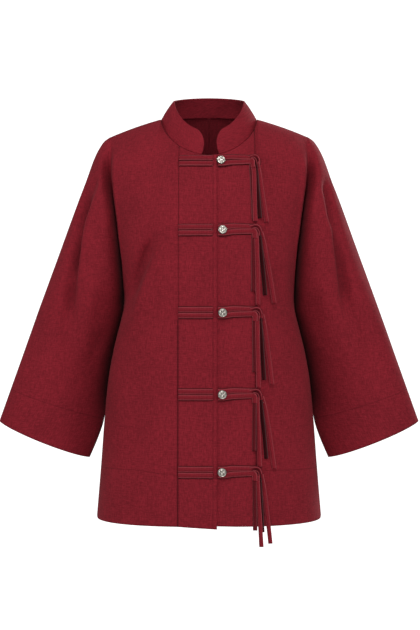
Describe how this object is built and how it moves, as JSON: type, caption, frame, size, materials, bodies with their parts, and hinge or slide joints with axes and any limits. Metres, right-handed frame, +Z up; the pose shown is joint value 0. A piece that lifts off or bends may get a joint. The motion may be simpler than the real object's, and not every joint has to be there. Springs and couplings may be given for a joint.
{
  "type": "kimono shirt",
  "caption": "Jacket-length kimono shirt with a stand collar, wide sleeves cut in one with the body, and knotted ties over the front bands",
  "frame": {"origin": "midway between the two neck points, where the wearer's shoulders hold the shirt", "axes": "+Z up, -Y the front, +X the wearer's left"},
  "size_m": [0.7278, 0.2602, 0.7702],
  "materials": {
    "cloth": "dark red plain-woven linen and cotton, matt and slightly slubby",
    "tie": "the same cloth sewn into flat narrow straps",
    "metal": "silver-coloured metal, satin, with a raised rim"
  },
  "bodies": {
    "root": {"front_right": "cloth", "front_left": "cloth", "back_right": "cloth", "back_left": "cloth", "band_right": "cloth", "band_left": "cloth", "collar": "cloth", "tie_1": "tie", "tie_1_end_front_a": "tie", "tie_1_end_front_b": "tie", "tie_1_end_back_a": "tie", "tie_1_end_back_b": "tie", "button_1": "metal", "tie_2": "tie", "tie_2_end_front_a": "tie", "tie_2_end_front_b": "tie", "tie_2_end_back_a": "tie", "tie_2_end_back_b": "tie", "button_2": "metal", "tie_3": "tie", "tie_3_end_front_a": "tie", "tie_3_end_front_b": "tie", "tie_3_end_back_a": "tie", "tie_3_end_back_b": "tie", "button_3": "metal", "tie_4": "tie", "tie_4_end_front_a": "tie", "tie_4_end_front_b": "tie", "tie_4_end_back_a": "tie", "tie_4_end_back_b": "tie", "button_4": "metal", "tie_5": "tie", "tie_5_end_front_a": "tie", "tie_5_end_front_b": "tie", "tie_5_end_back_a": "tie", "tie_5_end_back_b": "tie", "button_5": "metal"}
  },
  "joints": []
}
